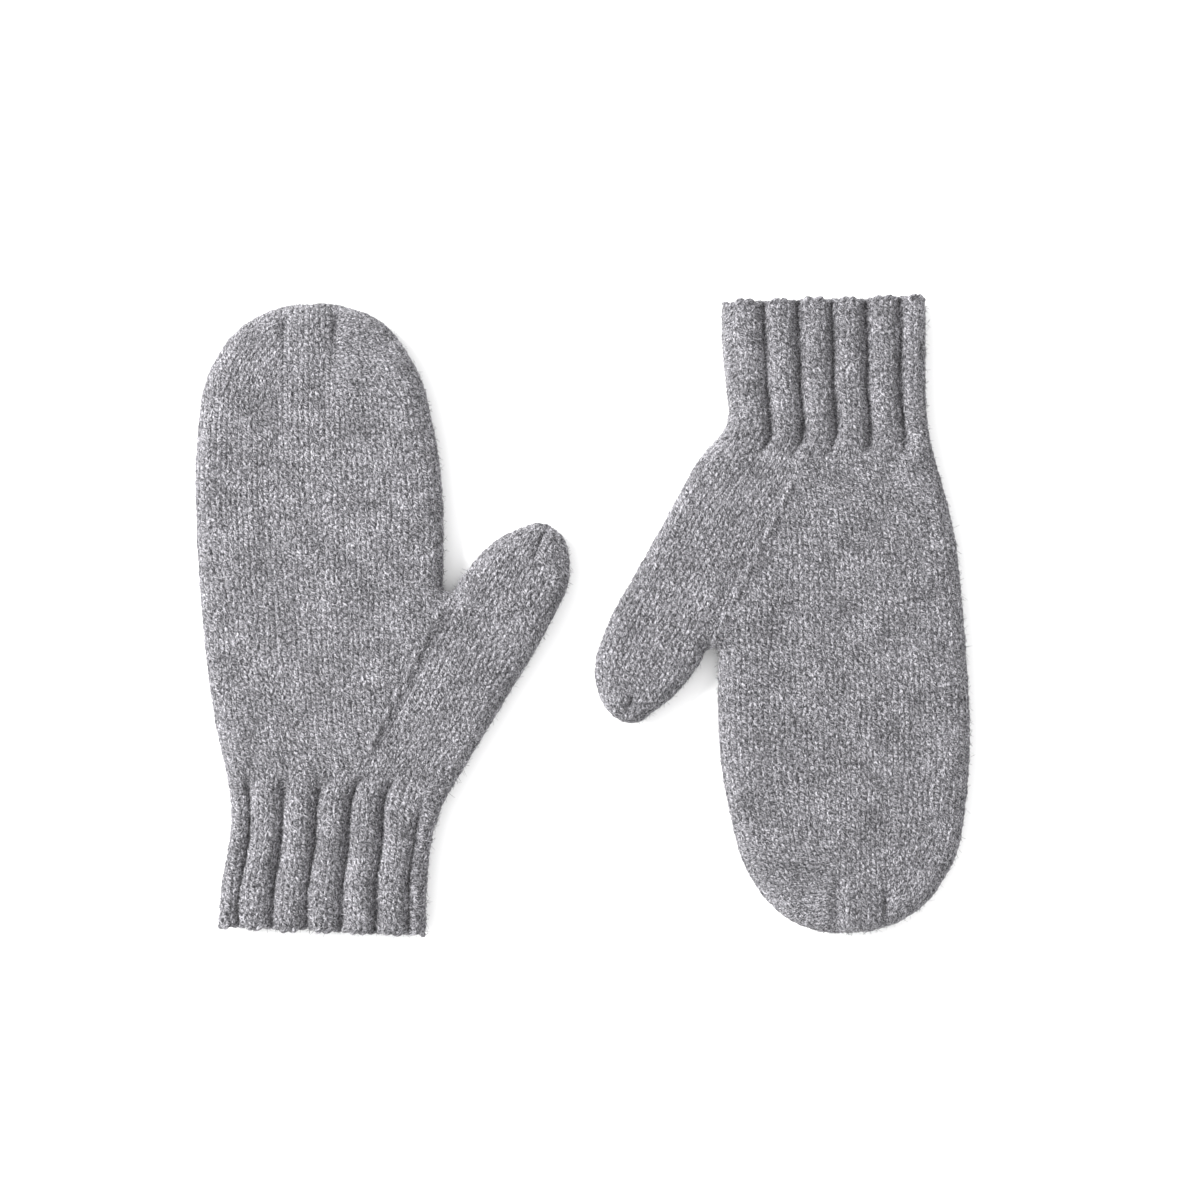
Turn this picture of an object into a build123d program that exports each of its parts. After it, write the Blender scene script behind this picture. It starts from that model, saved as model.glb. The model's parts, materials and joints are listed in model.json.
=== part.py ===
from build123d import *
import os
from math import cos, radians, sin, tan

# A pair of hand-knitted mittens lying flat on a table, fingers pointing opposite ways.
# Each mitten is drawn in its own plane: x runs across the hand towards the thumb, y runs
# from the mouth of the cuff to the fingertips, and z is the height above the table.

THICKNESS = 15.0  # both layers of fabric and the room between them
WALL = 3.5  # one layer of knitted fabric
FOLD_RADIUS = 6.0  # rounding of the side folds, outside
CROTCH_RADIUS = 2.0  # rounding between hand and thumb

EDGE_BAND = 4.5  # height of the cast-on edge
CUFF_LENGTH = 68.0  # mouth to the first plain row
KNUCKLES = 180.0  # height at which the fingers fold
CROWN_START = 226.0  # first row with decreases
CLOSING_BAND = 5.0  # height of the grafted closing at the fingertips
CLOSING_OVERLAP = 2.0  # how far the closing runs past the decrease lines
THUMB_ROOT = 9.0  # crotch to the fold at the root of the thumb
GAP_SHARE = 0.75  # lean of the gap beside the thumb, as a part of the thumb's lean
THUMB_TUBE = 14.0  # plain part of the free thumb
THUMB_DECREASES = 14.0  # tapered part of the thumb, up to the gathered closing
FOLD_GAP = 0.3  # clearance where two sections fold against each other

RIB_PERIOD = 14.2  # one rib and one valley
RIB_VALLEYS = 6  # valleys on each face of the cuff
VALLEY_RADIUS = 2.6
VALLEY_DEPTH = 1.4

ROUND_SHARE = 0.45  # part of a straight run that a round at its end may take
RUN_ON = 10.5  # length of the outline below the mouth, before it is trimmed
BEYOND = 150.0  # reach of a cutting region to either side of the mitten
PAST_TIPS = 300.0  # and past the fingertips
MID_HEIGHT = THICKNESS / 2

LEFT = {
    "name": "left",
    "place": Plane(origin=(-108.8, -134.6, 0), x_dir=(1, 0, 0), z_dir=(0, 0, 1)),
    "hand_edge": [
        (-44.0, 16.0),
        (-37.0, 52.0),
        (-46.8, 93.0),
        (-52.5, 145.0),
        (-54.6, 198.0),
        (-50.6, 235.0),
        (-37.2, 255.5),
        (-19.0, 265.2),
        (7.0, 266.4),
        (27.0, 258.2),
        (41.5, 236.5),
        (50.6, 195.0),
    ],
    "crotch": (50.9, 142.5),
    "thumb_edge": [
        (70.7, 167.0),
        (91.0, 175.2),
        (102.0, 168.6),
        (104.8, 150.0),
        (92.0, 124.0),
        (74.0, 95.0),
        (47.3, 50.0),
        (43.5, 25.0),
    ],
    "mouth": [(-44.0, 4.0), (43.0, 0.5)],
    "gusset_foot": 14.0,
    "thumb_lean": 30.0,
    "rib_lean": 7.0,
    "first_valley": -38.0,
    "crown_lines": (-16.2, 5.7),
}

RIGHT = {
    "name": "right",
    "place": Plane(origin=(101.0, 134.6, 0), x_dir=(-1, 0, 0), z_dir=(0, 0, 1)),
    "hand_edge": [
        (-43.6, 57.0),
        (-55.8, 97.5),
        (-60.3, 145.0),
        (-62.7, 193.0),
        (-57.6, 234.5),
        (-44.6, 256.0),
        (-25.0, 267.2),
        (2.0, 268.4),
        (20.6, 259.3),
        (34.4, 239.5),
        (44.2, 197.0),
    ],
    "crotch": (44.7, 144.5),
    "thumb_edge": [
        (59.5, 166.8),
        (80.5, 182.0),
        (92.8, 174.0),
        (97.4, 156.0),
        (90.3, 136.0),
        (73.0, 106.0),
        (52.0, 67.0),
        (39.4, 54.4),
        (41.8, 38.0),
        (43.5, 16.0),
    ],
    "mouth": [(-44.0, 0.5), (43.5, 3.0)],
    "gusset_foot": 8.0,
    "thumb_lean": 30.0,
    "rib_lean": 0.0,
    "first_valley": -32.0,
    "crown_lines": (-26.0, -5.0),
}


def smooth_radii(points):
    """The largest round for each corner between the ends of a chain of straight runs."""
    radii = []
    for before, corner, after in zip(points, points[1:], points[2:]):
        arriving = Vector(*corner) - Vector(*before)
        leaving = Vector(*after) - Vector(*corner)
        half_turn = radians(arriving.get_angle(leaving)) / 2
        radii.append(ROUND_SHARE * min(arriving.length, leaving.length) / tan(half_turn))
    return radii


def draw_outline(mitten, inset=0.0):
    """The mitten's flat outline, run on below the mouth, and drawn in by the inset."""
    hand_foot = (mitten["hand_edge"][0][0], -RUN_ON)
    thumb_foot = (mitten["thumb_edge"][-1][0], -RUN_ON)
    chain = [hand_foot, *mitten["hand_edge"], mitten["crotch"], *mitten["thumb_edge"], thumb_foot]
    radii = smooth_radii(chain)
    radii[len(mitten["hand_edge"])] = CROTCH_RADIUS
    with BuildSketch(mitten["place"]) as outline:
        with BuildLine():
            edge = FilletPolyline(*chain, radius=radii)
            Line(edge @ 1, edge @ 0)
        make_face()
        if inset:
            offset(amount=-inset)
    return outline.sketch


def build_cavity(mitten):
    """The hollow for the hand and the thumb, open below the mouth."""
    with BuildPart() as cavity:
        add(draw_outline(mitten, WALL))
        extrude(amount=THICKNESS - 2 * WALL)
    return cavity.part.moved(Location((0, 0, WALL)))


def build_valleys(mitten):
    """The sunk purl columns between the ribs, as rods along both faces of the cuff."""
    place = mitten["place"]
    lean = radians(mitten["rib_lean"])
    along = place.x_dir * sin(lean) + place.y_dir * cos(lean)
    across = along.cross(Vector(0, 0, 1))
    foot = place.from_local_coords(Vector(0, 0, MID_HEIGHT)) - along * VALLEY_RADIUS
    height = MID_HEIGHT + VALLEY_RADIUS - VALLEY_DEPTH
    first = mitten["first_valley"]
    centres = [
        (first + RIB_PERIOD * number, side * height)
        for number in range(RIB_VALLEYS)
        for side in (-1, 1)
    ]
    with BuildPart() as valleys:
        with BuildSketch(Plane(origin=foot, x_dir=across, z_dir=along)):
            with Locations(*centres):
                Circle(VALLEY_RADIUS)
        extrude(amount=CUFF_LENGTH + 2 * VALLEY_RADIUS)
    return valleys.part


def build_shell(mitten):
    """Both layers of fabric, joined round the sides and open at the mouth."""
    with BuildPart() as shell:
        add(draw_outline(mitten))
        extrude(amount=THICKNESS)
        rims = shell.edges().group_by(Axis.Z)
        fillet(rims[0] + rims[-1], FOLD_RADIUS)
        add(build_cavity(mitten), mode=Mode.SUBTRACT)
    return shell.part


def cut_section(mitten, shell, name, corners, low=0.0, high=THICKNESS):
    """The piece of a shell inside a region of the plan, between two heights."""
    with BuildPart() as section:
        with BuildSketch(mitten["place"].offset(low)):
            with BuildLine():
                Polyline(*corners, close=True)
            make_face()
        extrude(amount=high - low)
        add(shell, mode=Mode.INTERSECT)
    section.part.label = mitten["name"] + "_" + name
    export_step(section.part, "parts/" + section.part.label + ".step")
    return section.part


def cut_faces(mitten, shell, name, corners):
    """The lower and the upper layer of one region, as two pieces that meet at mid height."""
    lower = cut_section(mitten, shell, name + "_under", corners, high=MID_HEIGHT)
    upper = cut_section(mitten, shell, name + "_top", corners, low=MID_HEIGHT)
    return [lower, upper]


def band(low, high, left=-BEYOND, right=BEYOND):
    """Corners of a strip across the mitten."""
    return [(left, low), (right, low), (right, high), (left, high)]


def build_cuff(mitten, shell):
    """The cast-on edge and the ribbed tube above it."""
    hand_end, thumb_end = mitten["mouth"]
    slope = (thumb_end[1] - hand_end[1]) / (thumb_end[0] - hand_end[0])
    middle = hand_end[1] - slope * hand_end[0]
    mouth = [(x, middle + slope * x) for x in (-BEYOND, BEYOND)]
    edge = [(x, y + EDGE_BAND) for x, y in mouth]
    top = [(BEYOND, CUFF_LENGTH - FOLD_GAP / 2), (-BEYOND, CUFF_LENGTH - FOLD_GAP / 2)]
    with BuildPart() as ribbed:
        add(shell)
        add(build_valleys(mitten), mode=Mode.SUBTRACT)
    return [
        cut_section(mitten, shell, "cast_on_edge", mouth + edge[::-1]),
        cut_section(mitten, ribbed.part, "ribbed_cuff", edge + top),
    ]


def thumb_directions(mitten):
    """Along the thumb, and across it towards its outer side."""
    lean = radians(mitten["thumb_lean"])
    return Vector(sin(lean), cos(lean)), Vector(cos(lean), -sin(lean))


def thumb_fold(mitten):
    """The end of the thumb's fold line, in the gap past the crotch."""
    lean = radians(mitten["thumb_lean"])
    gap_lean = GAP_SHARE * lean
    between = Vector(sin(gap_lean), cos(gap_lean))
    return Vector(*mitten["crotch"]) + between * (THUMB_ROOT / cos(lean - gap_lean))


def build_hand(mitten, shell):
    """Palm and back, and both faces of the gusset that widens towards the thumb."""
    along, across = thumb_directions(mitten)
    bottom = CUFF_LENGTH + FOLD_GAP / 2
    top = KNUCKLES - FOLD_GAP / 2
    foot = (mitten["gusset_foot"], bottom)
    crotch = mitten["crotch"]
    root = thumb_fold(mitten) - along * (FOLD_GAP / 2)
    hand = [(-BEYOND, bottom), foot, crotch, root, (root.X, top), (-BEYOND, top)]
    gusset = [foot, (BEYOND, bottom), root + across * BEYOND, root, crotch]
    return cut_faces(mitten, shell, "hand", hand) + cut_faces(mitten, shell, "gusset", gusset)


def build_thumb(mitten, shell):
    """The free thumb: a plain tube, the decreases, and the gathered closing."""
    along, across = thumb_directions(mitten)
    fold = thumb_fold(mitten)

    def slice_at(start, stop):
        near = fold + along * start
        far = fold + along * stop
        return [near, near + across * BEYOND, far + across * BEYOND, far]

    taper = FOLD_GAP / 2 + THUMB_TUBE
    closing = taper + THUMB_DECREASES
    tube = cut_faces(mitten, shell, "thumb", slice_at(FOLD_GAP / 2, taper))
    decreases = cut_faces(mitten, shell, "thumb_tip", slice_at(taper, closing))
    gather = cut_section(mitten, shell, "thumb_closing", slice_at(closing, BEYOND))
    return tube + decreases + [gather]


def build_fingers(mitten, shell):
    """The finger section, the four panels of the crown, and the grafted closing."""
    first_line, second_line = mitten["crown_lines"]
    summit = max(y for x, y in mitten["hand_edge"])
    bottom = KNUCKLES + FOLD_GAP / 2
    right = thumb_fold(mitten).X
    closing_low = summit - CLOSING_BAND
    closing_left = first_line - CLOSING_OVERLAP
    closing_right = second_line + CLOSING_OVERLAP
    centre = band(CROWN_START, closing_low, first_line, second_line)
    hand_side = [
        (-BEYOND, CROWN_START),
        (first_line, CROWN_START),
        (first_line, closing_low),
        (closing_left, closing_low),
        (closing_left, PAST_TIPS),
        (-BEYOND, PAST_TIPS),
    ]
    thumb_side = [
        (second_line, CROWN_START),
        (right, CROWN_START),
        (right, PAST_TIPS),
        (closing_right, PAST_TIPS),
        (closing_right, closing_low),
        (second_line, closing_low),
    ]
    closing = band(closing_low, PAST_TIPS, closing_left, closing_right)
    return (
        cut_faces(mitten, shell, "fingers", band(bottom, CROWN_START, right=right))
        + cut_faces(mitten, shell, "crown_panel", centre)
        + [
            cut_section(mitten, shell, "crown_outer_side", hand_side),
            cut_section(mitten, shell, "crown_thumb_side", thumb_side),
            cut_section(mitten, shell, "crown_closing", closing),
        ]
    )


def build_mitten(mitten):
    """Every section of one mitten."""
    shell = build_shell(mitten)
    return (
        build_cuff(mitten, shell)
        + build_hand(mitten, shell)
        + build_thumb(mitten, shell)
        + build_fingers(mitten, shell)
    )


os.makedirs("parts", exist_ok=True)
pieces = build_mitten(LEFT) + build_mitten(RIGHT)
pair = Compound(children=pieces)
size = pair.bounding_box()
print("sections", len(pieces))
print("pair from", size.min, "to", size.max)
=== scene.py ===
import json

import bpy
import numpy as np
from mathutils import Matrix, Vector


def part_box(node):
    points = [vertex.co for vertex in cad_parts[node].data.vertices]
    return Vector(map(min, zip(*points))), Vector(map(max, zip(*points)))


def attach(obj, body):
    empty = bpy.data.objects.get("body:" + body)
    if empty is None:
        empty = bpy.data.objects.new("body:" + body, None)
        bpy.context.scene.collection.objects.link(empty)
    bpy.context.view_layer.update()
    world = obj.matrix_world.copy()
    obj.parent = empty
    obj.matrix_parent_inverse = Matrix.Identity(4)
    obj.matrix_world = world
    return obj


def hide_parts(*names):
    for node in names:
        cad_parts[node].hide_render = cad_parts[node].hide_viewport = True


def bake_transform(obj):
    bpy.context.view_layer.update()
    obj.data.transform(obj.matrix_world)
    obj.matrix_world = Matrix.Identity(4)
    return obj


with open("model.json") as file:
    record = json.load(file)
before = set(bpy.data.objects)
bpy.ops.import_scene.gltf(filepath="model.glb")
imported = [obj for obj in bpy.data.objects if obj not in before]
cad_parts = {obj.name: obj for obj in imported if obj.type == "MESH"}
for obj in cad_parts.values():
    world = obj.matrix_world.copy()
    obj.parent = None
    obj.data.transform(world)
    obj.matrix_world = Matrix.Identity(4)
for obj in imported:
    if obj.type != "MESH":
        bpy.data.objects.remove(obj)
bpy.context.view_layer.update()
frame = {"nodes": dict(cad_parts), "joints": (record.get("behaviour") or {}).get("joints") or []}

# A pair of mittens, knitted stitch by stitch. Every row of loops is one yarn, laid over a
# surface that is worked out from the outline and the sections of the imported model.
# Lengths are in millimetres until a mesh is made.

MM = 0.001

# Gauge
ROW_HEIGHT = 2.65
ROUND_WALES = 24  # stitches on each face of the cuff and of the fingers
HAND_START = 14  # stitches of the cuff's face that carry on into the hand
GUSSET_WALES = 10  # and those that carry on into the gusset and the thumb
PANEL_WALES = 5  # between the crown's decrease lines
RIB_WALES = 4  # three knit stitches and a purl
RIB_OFFSET = {"left": 2, "right": 3}  # first purl on the upper face, from the outer fold
SMALLEST_STITCH = 0.35  # a part stitch narrower than this joins its neighbour
TIP_STITCH = 3.6  # width of the stitches of the thumb's rows where the tip narrows
THUMB_STRETCH = 1.08  # how much taller the thumb's rows are on average

# Yarn and loop
YARN_RADIUS = 1.2
YARN_TWIST = 0.8  # radians for each millimetre of yarn
YARN_WANDER = 0.06  # unevenness of its radius, as a share
STRAND_LENGTH = 4000  # each yarn starts anywhere along a strand of fibres of this length
LOOP_HEIGHT = 1.7  # in row heights
LOOP_SWING = 0.25  # in stitch widths
LOOP_DEPTH = 0.46
LOOP_WANDER = 0.08  # unevenness of the loops, in stitches and in rows
DEPTH_WANDER = 0.14  # and in their depth
STEPS = 12  # points along the yarn of one stitch
SIDES = 6  # corners round the yarn
FIBRE_RADIUS = 0.085
FIBRE_LENGTHS = (0.8, 1.8)  # the shortest, and how much longer the longest is
FIBRE_SPREAD = 0.9  # radians to each side of the yarn's outer line
FIBRE_LIFT = 1.2  # the steepest rise off the yarn
FIBRE_CURL = 0.6
FIBRE_TONES = ((0.15, 1.0), (0.9, 1.2))  # dark ones and light ones: the least, and the spread
FIBRES_PER_STITCH = 10
FIBRE_POINTS = 4
FIBRE_SIDES = 3
CORNERS = np.array([(0, 0), (0, 1), (1, 1), (1, 0)])  # of a face, counted in its grid

# How the fabric lies
MID = 7.5  # height of the plane between the two faces
HALF_HEIGHT = 5.45  # from there to the middle of a face
FOLD_REACH = 6.5  # width of the rounded side fold
UNEVENNESS = 0.42  # how far the faces swell and sink
SWELL_ACROSS = (6.1, 2.3, 19.0)  # a wave's length over 2 pi, how far it bends, and how often
SWELL_ALONG = (7.3, 1.7, 14.0)
INSET = 1.75  # outline to the middle of the fabric
CROTCH_DRAW = 0.8  # how much further the crotch is drawn in
CROTCH_REACH = 6.0
MOUTH_INSET = 1.9  # mouth to the foot of the first row
FINE = 6  # samples of the surface for each stitch
OUTLINE_STEP = 0.5
ROW_POINTS = 24  # the fewest points along a row
PANEL_POINTS = 40
LINE_POINTS = 200
WEB_OUTER = 0.9  # the felted web between the loops, from the middle of the fabric
WEB_INNER = -0.9
# painted shade: the web is coloured darker than the yarn, for the shade in the gaps between the
# loops
WEB_PAINTED_SHADE = 0.9
WEB_SHIFT = 9  # between the fibres of its two sides

# Creases: where they run, their first and last depth, and their half width
CROWN_CREASE = (24.0, 0.6, 3.6, 2.1)  # down from the top fold, along each decrease line
SEAM_CREASE = (4.0, 0.4, 0.7, 3.0)  # beside the gusset line
TIP_CREASES = (  # from the thumb's tip: heading and length
    ((-0.39, -0.92), 13, 4.6, 1.8, 1.05),
    ((0.52, -0.85), 7, 4.0, 1.4, 1.05),
)

# Where the model's sections are read
RIM = 6.0  # height of the lower rim of their outer walls
RIM_SLACK = 0.1
CROWN_RISE = 20  # the top fold is at least this far above the crown's start
THUMB_LEAN = 0.75  # the thumb's tip is furthest along this share of the thumb's lean
ROOT_LEAN = 0.6  # and its first row lies square to this share

# Ribs
FOLD_WIDTH = 1.75  # width of the stitch at the thumb side's fold
PURL_WIDTH = 0.85  # width of a purl column beside a knit one
PURL_SINK = 1.7
PURL_SPREAD = 1.1  # half width of the valley, in stitches
GAP_SINK = 3.4  # the narrow gap at the bottom of the valley
GAP_SPREAD = 0.7
RIB_STAND = 0.35  # how far the ribs stand out
FOLD_CALM = (1.5, 0.3)  # the valleys are shallower this near a side fold, down to this share
RIB_SWAY = 0.0055  # sideways wander of the stitches, as a share of the row
SWAY_WAVES = (2.1, 17, 31, 3)  # how it changes with the stitch and with the row
RIB_RELAX = 3  # the stitches leave the ribs' spacing over the last one in this many rows
GUSSET_RELAX = 0.35  # share of the gusset over which its stitches become even
SEAM_OVERLAP = 2.0  # how far the gusset's rows start under the hand
RIB_FADE = 3.5  # rows over which the ribs run out at the wrist
EARLY_END = 4.0  # rows by which the last rib by the thumb runs out before the others
LAST_STRAIGHT = 20  # the stitches past this one fill the flare of the wrist
STRAIGHT_WIDTH = 3.65  # width of a stitch before that one

# Cast-on edge, in rows
EDGE_ROWS = 2  # rows that belong to it
EDGE_DROP = 0.8  # the twisted yarn below the first row
EDGE_WAVE = 0.16  # how far it wanders along the fabric, and off it in millimetres
EDGE_TWIST = 0.7
EDGE_WANDER = (0.1, 0.05)  # unevenness of its place, and of its radius as a share
EDGE_THICKNESS = 0.95  # in yarn radii
SCALLOP = 0.2  # how far the ribs reach past the valleys

# Lifted strands at the increases
LIFTED_HALF = 4.2  # half their length
LIFTED_HEADING = (0.33, 0.94)
LIFTED_POINTS = 9
LIFTED_RISE = (-0.5, 2.1)  # off the fabric at the ends, and how much more halfway
LIFTED_THICKNESS = (0.5, 0.6)  # the same in yarn radii
# painted highlight: the raised strands are coloured lighter than the rest of the yarn
LIFTED_PAINTED_HIGHLIGHT = 1.1
LIFTED_CLEARANCE = 1.2  # over the table on the lower face, in yarn radii

# Ends of the sections
TIP_START = 14  # distance from the thumb's root
THUMB_CLOSING_ROWS = 2
CROWN_CLOSING_ROWS = 3

# Lengths of fabric at the joints, handed to blend, which does not bend the pieces
WRIST_BEND = 35.0  # length of fabric that bends at each joint
THUMB_BEND = 25.0
KNUCKLE_BEND = 40.0

# Wool: dark, middle and light fibres, by where they lie in the noise
WOOL_SHADES = (
    (0.368, (0.0112, 0.0109, 0.0125)),
    (0.5, (0.098, 0.0958, 0.1042)),
    (0.65, (0.372, 0.3655, 0.387)),
)
WOOL_PATCHES = 0.24  # how much darker or lighter whole patches are
STREAKS = (0.9, 1.7, 1.7)  # noise along the yarn and across it: of the colour
FURROWS = (0.6, 4.0, 4.0)  # and of the relief
PAPER = (0.96, 0.96, 0.96, 1)

# Light and view, in metres and watts
KEY_PLACE = (-1.6, 0.6, 1.1)
KEY_SIZE = 1.3
KEY_POWER = 104
SKY_STRENGTH = 1.42
FLOOR_SIZE = 6.0
VIEW_WIDTH = 0.504
VIEW_CENTRE = (0.00735, 0.0067)
LENS = 85.0  # mm
SENSOR = 36.0


# ---------------------------------------------------------------- plan of a mitten


def joint_of(name):
    return next(each for each in frame["joints"] if each["name"] == name)


def travel(points):
    """Distance travelled at each point of a chain."""
    return np.concatenate([[0], np.cumsum(np.linalg.norm(np.diff(points, axis=0), axis=1))])


def look_up(wanted, known, values):
    """Rows of values between known numbers."""
    return np.column_stack([np.interp(wanted, known, axis) for axis in np.asarray(values).T])


def distance_to(chain, points):
    """Distance from each point to a chain of straight runs."""
    run = np.diff(chain, axis=0)
    offset = points[:, None] - chain[:-1]
    share = np.clip((offset * run).sum(-1) / (run * run).sum(-1), 0, 1)
    return np.linalg.norm(offset - share[..., None] * run, axis=-1).min(axis=1)


class Mitten:
    """One mitten's plan: x across the hand towards the thumb, y from the wrist to the tips."""

    def __init__(self, side):
        self.side = side
        wrist = Vector(joint_of(side + "_wrist_fold")["pos_m"])
        knuckles = Vector(joint_of(side + "_finger_fold")["pos_m"])
        along = (knuckles - wrist).normalized()
        self.axes = np.array([along.cross(Vector((0, 0, 1))), along, (0, 0, 1)])
        self.origin = np.array([wrist.x, wrist.y, 0])
        thumb_fold = joint_of(side + "_thumb_fold")
        self.knuckles = (knuckles - wrist).length / MM
        self.thumb_root = self.to_plan(thumb_fold["pos_m"])[:2]
        lean = abs((self.axes @ np.array(thumb_fold["axis"]))[:2])
        self.thumb_along = lean[::-1]
        self.read_outline()
        self.gusset_foot = np.array([self.box("gusset_top")[0][0], 0.0])
        low, high = self.box("crown_panel_top")
        self.crown_start = low[1]
        self.crown_lines = (low[0], high[0])
        self.creases = self.list_creases()

    def to_plan(self, points):
        return (np.asarray(points) - self.origin) @ self.axes.T / MM

    def to_world(self, points):
        return points @ self.axes * MM + self.origin

    def box(self, node):
        corners = self.to_plan([list(corner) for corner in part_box(f"{self.side}_{node}")])
        return corners.min(axis=0), corners.max(axis=0)

    def wall_runs(self):
        """Straight runs of the outline, from the lower rims of the sections' outer walls."""
        runs = []
        for name, node in frame["nodes"].items():
            if not name.startswith(self.side):
                continue
            places = np.empty(len(node.data.vertices) * 3)
            node.data.vertices.foreach_get("co", places)
            places = self.to_plan(places.reshape(-1, 3))
            for face in node.data.polygons:
                corners = places[list(face.vertices)]
                low = corners[corners[:, 2] < RIM + RIM_SLACK / 2, :2]
                upright = abs(face.normal.z) < 0.1 and corners[:, 2].min() > RIM - RIM_SLACK
                if upright and len(low) == 2:
                    runs.append(low)
        return np.array(runs)

    def read_outline(self):
        """The fold: the outline from the outer corner of the mouth, over the fingertips and
        the thumb, to the inner corner, drawn in to the middle of the fabric."""
        runs = self.wall_runs()
        ends = runs.reshape(-1, 2)
        here = int(np.where(ends[:, 0] < 0, ends[:, 1], np.inf).argmin())
        chain = [ends[here]]
        used = np.zeros(len(runs), bool)
        while not used.all():
            used[here // 2] = True
            chain.append(ends[here ^ 1])
            gap = np.linalg.norm(ends - chain[-1], axis=1)
            gap[np.repeat(used, 2)] = np.inf
            here = int(gap.argmin())
        chain = np.array(chain)
        reached = travel(chain)
        chain = look_up(np.arange(0, reached[-1], OUTLINE_STEP), reached, chain)
        heading = np.gradient(chain, axis=0)
        heading /= np.linalg.norm(heading, axis=1, keepdims=True)
        top = int(chain[:, 1].argmax())
        crotch = top + int(np.argmax(np.diff(chain[top:, 1]) > 0))
        near = np.exp(-((np.arange(len(chain)) - crotch) * OUTLINE_STEP / CROTCH_REACH) ** 2)
        inset = INSET + CROTCH_DRAW * near[:, None]
        self.fold = chain + inset * heading[:, ::-1] * (1, -1)
        self.reached = travel(self.fold)
        lean = np.arctan2(*self.thumb_along) * THUMB_LEAN
        forward = self.fold @ np.array([np.sin(lean), np.cos(lean)])
        tip = crotch + int(forward[crotch:].argmax())
        stops = [0, top, crotch, tip, len(self.fold) - 1]
        names = ("outer", "inner", "thumb_inner", "thumb_outer")
        self.parts = {name: slice(a, b + 1) for name, a, b in zip(names, stops, stops[1:])}
        self.crotch = self.fold[crotch]
        self.thumb_tip = self.fold[tip]

    def at_height(self, part, y):
        """Distance along the fold at which a part of it passes a height."""
        heights, reached = self.fold[self.parts[part], 1], self.reached[self.parts[part]]
        order = heights.argsort()
        return np.interp(y, heights[order], reached[order])

    def fold_at(self, distance):
        return look_up(np.atleast_1d(distance), self.reached, self.fold).squeeze()

    def edge(self, part, y):
        return self.fold_at(self.at_height(part, y))

    def list_creases(self):
        """Dents of the fabric: from, to, depth at each, and half width."""
        length, *shape = CROWN_CREASE
        top = self.fold[:, 1].max()
        creases = [((x, top - length), (x, top), *shape) for x in self.crown_lines]
        apart, *shape = SEAM_CREASE
        line = self.crotch - self.gusset_foot
        beside = apart * np.array([line[1], -line[0]]) / np.linalg.norm(line)
        creases.append((self.gusset_foot + beside, self.crotch + beside, *shape))
        for heading, length, *shape in TIP_CREASES:
            end = self.thumb_tip + length * np.array(heading)
            creases.append((self.thumb_tip, end, *shape))
        return creases

    def height(self, plan):
        """Height of the upper face's middle above the plane between the faces."""
        depth = np.clip(distance_to(self.fold, plan) / FOLD_REACH, 0, 1)
        height = HALF_HEIGHT * np.sqrt(1 - (1 - depth) ** 2)
        for begin, stop, first, last, width in self.creases:
            run = np.subtract(stop, begin)
            share = np.clip((plan - begin) @ run / (run @ run), 0, 1)
            off = np.linalg.norm(plan - begin - share[:, None] * run, axis=1)
            dent = (first + (last - first) * share) * np.exp(-((off / width) ** 2))
            height = height - dent * depth
        x, y = plan.T
        length, bend, slow = SWELL_ACROSS
        across = np.sin(x / length + bend * np.sin(y / slow))
        length, bend, slow = SWELL_ALONG
        along = np.sin(y / length + bend * np.sin(x / slow))
        return height + UNEVENNESS * across * along * depth

    def surface(self, plan):
        """Points of the upper face."""
        return np.column_stack([plan, MID + self.height(plan)])

    def row_curve(self, start, stop):
        """The upper half of a row between two points of the plan."""
        run = np.subtract(stop, start)
        turn = np.linspace(0, np.pi, max(int(np.linalg.norm(run) * 2), ROW_POINTS))
        return self.surface(start + (1 - np.cos(turn))[:, None] / 2 * run)

    def level_row(self, y):
        """A row straight across the fingers."""
        return self.row_curve(self.edge("outer", y), self.edge("inner", y))

    def gusset_point(self, share):
        return self.gusset_foot + share * (self.crotch - self.gusset_foot)


# ---------------------------------------------------------------- strips of rows


def flipped(points):
    """Points reflected in the plane between the two faces."""
    return points * (1, 1, -1) + (0, 0, 2 * MID)


class Strip:
    """The upper half of some rows, sampled at even steps of the stitch count.

    grid[row, sample] is a point of the fabric's middle, and counts the stitches of each row.
    folds says whether the rows run on round a fold at their start and at their end. facing
    is -1 where the rows run from the thumb side to the outer side. stitches is the number of
    even stitches in each row, where that is not the count.
    """

    def __init__(self, grid, wales, counts, folds, facing=1, stitches=None):
        self.grid, self.wales, self.counts = grid, wales, np.array(counts, float)
        self.folds, self.facing, self.stitches = folds, facing, stitches
        self.upward = np.gradient(grid, axis=0)
        before = flipped(grid[:, 1:2]) if folds[0] else 2 * grid[:, :1] - grid[:, 1:2]
        after = flipped(grid[:, -2:-1]) if folds[1] else 2 * grid[:, -1:] - grid[:, -2:-1]
        sideways = np.gradient(np.concatenate([before, grid, after], axis=1), axis=1)[:, 1:-1]
        outward = np.cross(sideways, self.upward) * facing
        self.outward = outward / np.maximum(np.linalg.norm(outward, axis=-1, keepdims=True), 1e-9)

    def half(self, row, under):
        """Middle points, steps to the next row and outward directions along half a row."""
        flip = np.array([1, 1, -1 if under else 1])
        middle = flipped(self.grid[row]) if under else self.grid[row]
        return middle, self.upward[row] * flip, self.outward[row] * flip


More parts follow.
